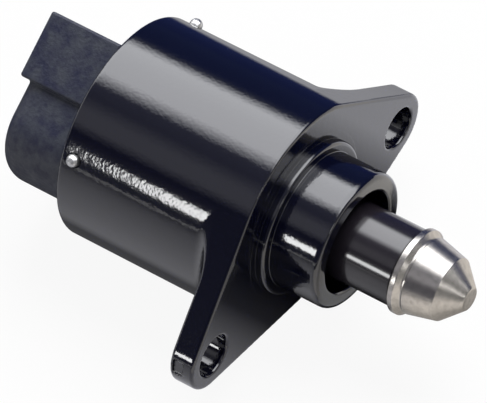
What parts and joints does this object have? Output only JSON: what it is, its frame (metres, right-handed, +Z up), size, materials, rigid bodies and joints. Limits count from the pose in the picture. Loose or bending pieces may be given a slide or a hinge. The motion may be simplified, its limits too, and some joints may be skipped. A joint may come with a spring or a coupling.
{
  "type": "idle air control valve",
  "caption": "Stepper motor valve with a two-eared flange, a locating collar and a tapered pintle that a lead screw slides out of it.",
  "frame": {"origin": "where the valve axis meets the mounting face of the flange", "axes": "+X along the valve axis towards the pintle, Y along the line of the two bolt holes, +Z up, away from the side to which the bolt holes are offset"},
  "size_m": [0.0729, 0.0584, 0.0362],
  "materials": {
    "black_paint": "gloss black enamel on a die casting",
    "dark_plastic": "matte dark grey glass-filled plastic",
    "terminal_tin": "tinned brass",
    "bright_pin": "bright rolled steel",
    "black_rubber": "soft black rubber",
    "stator_steel": "pressed and plated sheet",
    "bobbin_plastic": "natural nylon",
    "winding_copper": "enamelled copper wire",
    "magnet": "grey ferrite",
    "hub_plastic": "natural acetal",
    "nut_brass": "turned brass",
    "bearing_steel": "ground steel",
    "bronze": "sintered bronze",
    "guide_plastic": "oil-filled acetal",
    "screw_steel": "rolled stainless steel",
    "sleeve_coat": "burnished warm black",
    "tip_metal": "turned bright metal"
  },
  "bodies": {
    "valve_body": {"housing": "black_paint", "rear_moulding": "dark_plastic", "terminals": "terminal_tin", "retaining_pins": "bright_pin", "cap_seal": "black_rubber", "front_stator_cup": "stator_steel", "front_pole_plate": "stator_steel", "front_bobbin": "bobbin_plastic", "front_winding": "winding_copper", "rear_stator_cup": "stator_steel", "rear_pole_plate": "stator_steel", "rear_bobbin": "bobbin_plastic", "rear_winding": "winding_copper", "bearing_outer_ring": "bearing_steel", "rear_bush": "bronze", "preload_washer": "stator_steel", "guide_bush": "guide_plastic", "stop_ring": "black_rubber"},
    "rotor": {"rotor_magnet": "magnet", "rotor_hub": "hub_plastic", "rotor_nut": "nut_brass", "bearing_inner_ring": "bearing_steel"},
    "ball_cage": {"bearing_cage": "nut_brass", "bearing_balls": "bearing_steel"},
    "plunger": {"lead_screw": "screw_steel", "plunger_sleeve": "sleeve_coat", "pintle_tip": "tip_metal"}
  },
  "joints": [
    {"name": "rotor_spin", "type": "hinge", "parent": "valve_body", "child": "rotor", "pos_m": [-0.015, 0, 0], "axis": [1, 0, 0], "range_deg": [-2521, 361]},
    {"name": "plunger_slide", "type": "slide", "parent": "valve_body", "child": "plunger", "axis": [1, 0, 0], "range_m": [-0.007, 0.001]},
    {"name": "cage_spin", "type": "hinge", "parent": "valve_body", "child": "ball_cage", "pos_m": [-0.00825, 0, 0], "axis": [1, 0, 0], "range_deg": [-1077.72, 154.82]}
  ],
  "couplings": [
    {"joint": "rotor_spin", "follows": "plunger_slide", "rad_per_m": 6283.2},
    {"joint": "cage_spin", "follows": "plunger_slide", "rad_per_m": 2684.6}
  ]
}
